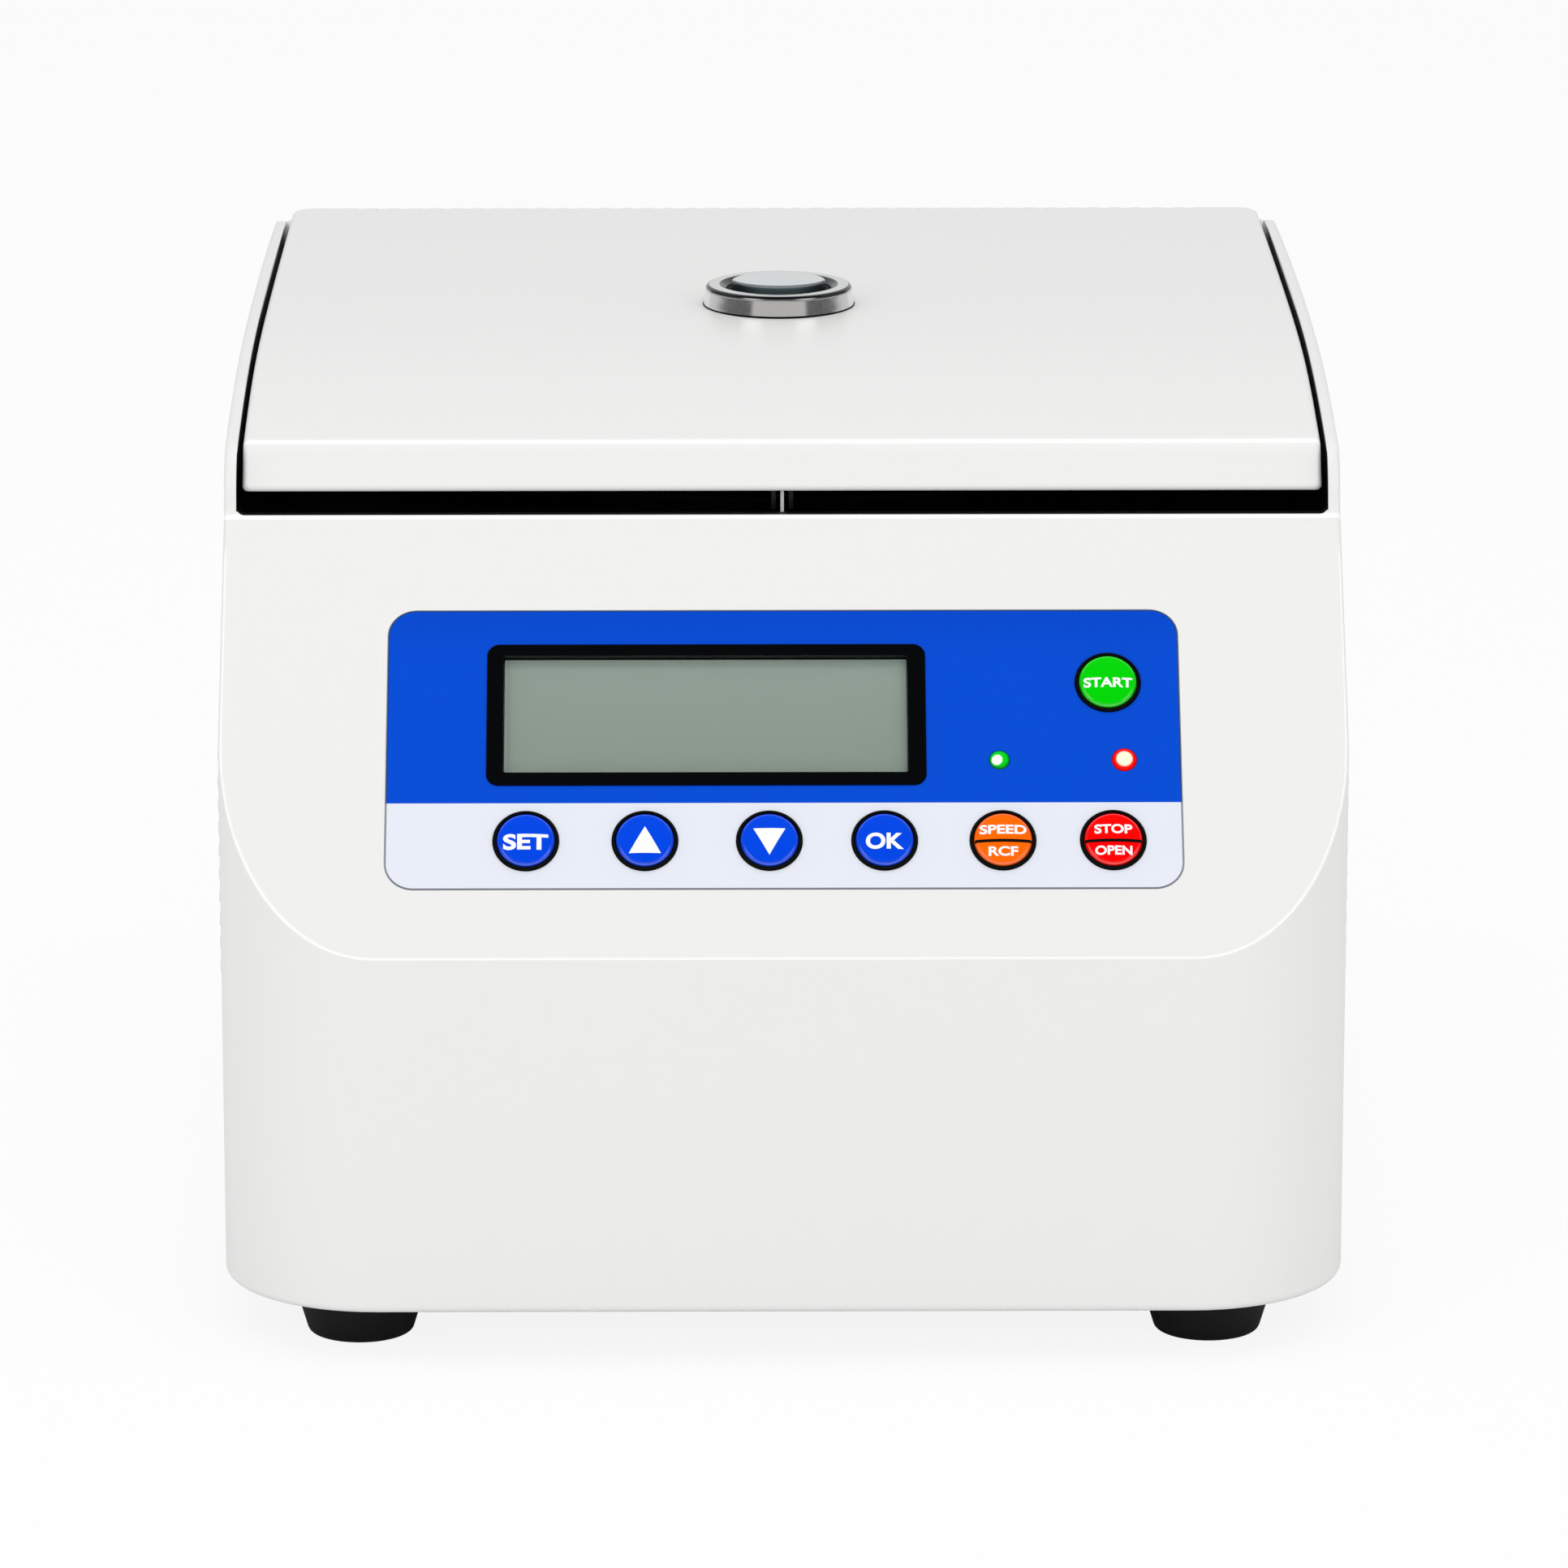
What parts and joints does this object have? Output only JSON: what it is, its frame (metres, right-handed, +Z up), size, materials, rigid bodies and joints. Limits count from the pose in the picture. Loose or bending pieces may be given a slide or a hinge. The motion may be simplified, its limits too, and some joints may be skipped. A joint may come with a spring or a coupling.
{
  "type": "bench centrifuge",
  "caption": "Bench-top high-speed centrifuge with a hinged lid, round sight glass, sloping control panel, angle rotor in a steel chamber and rubber feet.",
  "frame": {"origin": "on the bench, under the middle of the footprint", "axes": "+Z up, +Y from the console to the back panel, +X to the right seen from the front"},
  "size_m": [0.301, 0.39, 0.2477],
  "materials": {
    "housing_plastic": "satin, fine",
    "lid_plastic": "satin",
    "liner_plastic": "satin",
    "deck_coat": "gloss",
    "grey_steel": "satin",
    "bare_steel": "brushed",
    "zinc_screw": "zinc plated",
    "hook_coat": "gloss",
    "bracket_coat": "satin",
    "alloy": "satin anodised",
    "cast_alloy": "cast",
    "core_iron": "lacquered",
    "winding_copper": "enamelled",
    "ring_chrome": "polished",
    "black_rubber": "matt",
    "grey_rubber": "matt",
    "black_plastic": "satin",
    "overlay_film": "gloss, two colours",
    "key_blue": "gloss",
    "key_green": "gloss",
    "key_orange": "gloss",
    "key_red": "gloss",
    "lamp_green": "clear, tinted",
    "lamp_red": "clear, tinted",
    "clear_glass": "polished",
    "display_face": "grey-green",
    "board_green": "solder mask",
    "boot_rubber": "matt",
    "nylon": "satin"
  },
  "bodies": {
    "chassis": {"main_housing": "housing_plastic", "deck_plate": "deck_coat", "base_plate": "grey_steel", "rubber_feet": "black_rubber", "foot_screws": "zinc_screw", "rear_panel": "grey_steel", "rear_screws": "zinc_screw", "chamber_bowl": "bare_steel", "chamber_gasket": "grey_rubber", "guard_ring": "grey_steel", "motor_dampers": "black_rubber", "motor_mount": "cast_alloy", "motor_can": "cast_alloy", "stator": "core_iron", "windings": "winding_copper", "motor_bearings": "bare_steel", "shaft_boot": "boot_rubber", "panel_overlay": "overlay_film", "key_pad": "black_plastic", "control_board": "board_green", "tact_switches": "black_plastic", "display_bezel": "black_plastic", "display_window": "clear_glass", "display_module": "display_face", "lamp_green": "lamp_green", "lamp_red": "lamp_red", "drive_board": "board_green", "heat_sink": "cast_alloy", "fan_frame": "black_plastic", "fan_guard": "ring_chrome", "power_inlet": "black_plastic", "inlet_pins": "winding_copper", "switch_frame": "black_plastic", "lock_housing": "black_plastic", "lock_motor": "bare_steel", "hinge_pins": "nylon"},
    "lid": {"lid_shell": "lid_plastic", "lid_liner": "liner_plastic", "lid_screws": "zinc_screw", "window_bezel": "ring_chrome", "window_gaskets": "black_rubber", "window_glass": "clear_glass", "window_nut": "black_plastic", "lid_hook": "hook_coat", "hook_bracket": "bracket_coat", "hinge_brackets": "grey_steel"},
    "spindle": {"rotor": "alloy", "rotor_nut": "ring_chrome", "motor_shaft": "bare_steel", "motor_core": "core_iron"},
    "fan_wheel": {"fan_impeller": "black_plastic"},
    "mains_rocker": {"power_rocker": "black_plastic"},
    "lock_pin": {"lock_bolt": "bare_steel"},
    "set_button": {"key_set": "key_blue"},
    "up_button": {"key_up": "key_blue"},
    "down_button": {"key_down": "key_blue"},
    "ok_button": {"key_ok": "key_blue"},
    "speed_button": {"key_speed": "key_orange"},
    "stop_button": {"key_stop": "key_red"},
    "start_button": {"key_start": "key_green"}
  },
  "joints": [
    {"name": "lid_hinge", "type": "hinge", "parent": "chassis", "child": "lid", "pos_m": [0, 0.185, 0.233], "axis": [-1, 0, 0], "range_deg": [0, 75]},
    {"name": "rotor_spin", "type": "hinge", "parent": "chassis", "child": "spindle", "pos_m": [0, 0.035, 0.128], "axis": [0, 0, 1], "continuous": true},
    {"name": "fan_spin", "type": "hinge", "parent": "chassis", "child": "fan_wheel", "pos_m": [0.06, 0.178, 0.076], "axis": [0, 1, 0], "continuous": true},
    {"name": "rocker_tilt", "type": "hinge", "parent": "chassis", "child": "mains_rocker", "pos_m": [-0.086, 0.19, 0.104], "axis": [-1, 0, 0], "range_deg": [0, 16]},
    {"name": "bolt_slide", "type": "slide", "parent": "chassis", "child": "lock_pin", "axis": [-1, 0, 0], "range_m": [0, 0.008]},
    {"name": "set_press", "type": "slide", "parent": "chassis", "child": "set_button", "axis": [0, 0.7658, -0.643], "range_m": [0, 0.0008], "stiffness_N_per_m": 2500},
    {"name": "up_press", "type": "slide", "parent": "chassis", "child": "up_button", "axis": [0, 0.7658, -0.643], "range_m": [0, 0.0008], "stiffness_N_per_m": 2500},
    {"name": "down_press", "type": "slide", "parent": "chassis", "child": "down_button", "axis": [0, 0.7658, -0.643], "range_m": [0, 0.0008], "stiffness_N_per_m": 2500},
    {"name": "ok_press", "type": "slide", "parent": "chassis", "child": "ok_button", "axis": [0, 0.7658, -0.643], "range_m": [0, 0.0008], "stiffness_N_per_m": 2500},
    {"name": "speed_press", "type": "slide", "parent": "chassis", "child": "speed_button", "axis": [0, 0.7658, -0.643], "range_m": [0, 0.0008], "stiffness_N_per_m": 2500},
    {"name": "stop_press", "type": "slide", "parent": "chassis", "child": "stop_button", "axis": [0, 0.7658, -0.643], "range_m": [0, 0.0008], "stiffness_N_per_m": 2500},
    {"name": "start_press", "type": "slide", "parent": "chassis", "child": "start_button", "axis": [0, 0.7658, -0.643], "range_m": [0, 0.0008], "stiffness_N_per_m": 2500}
  ]
}
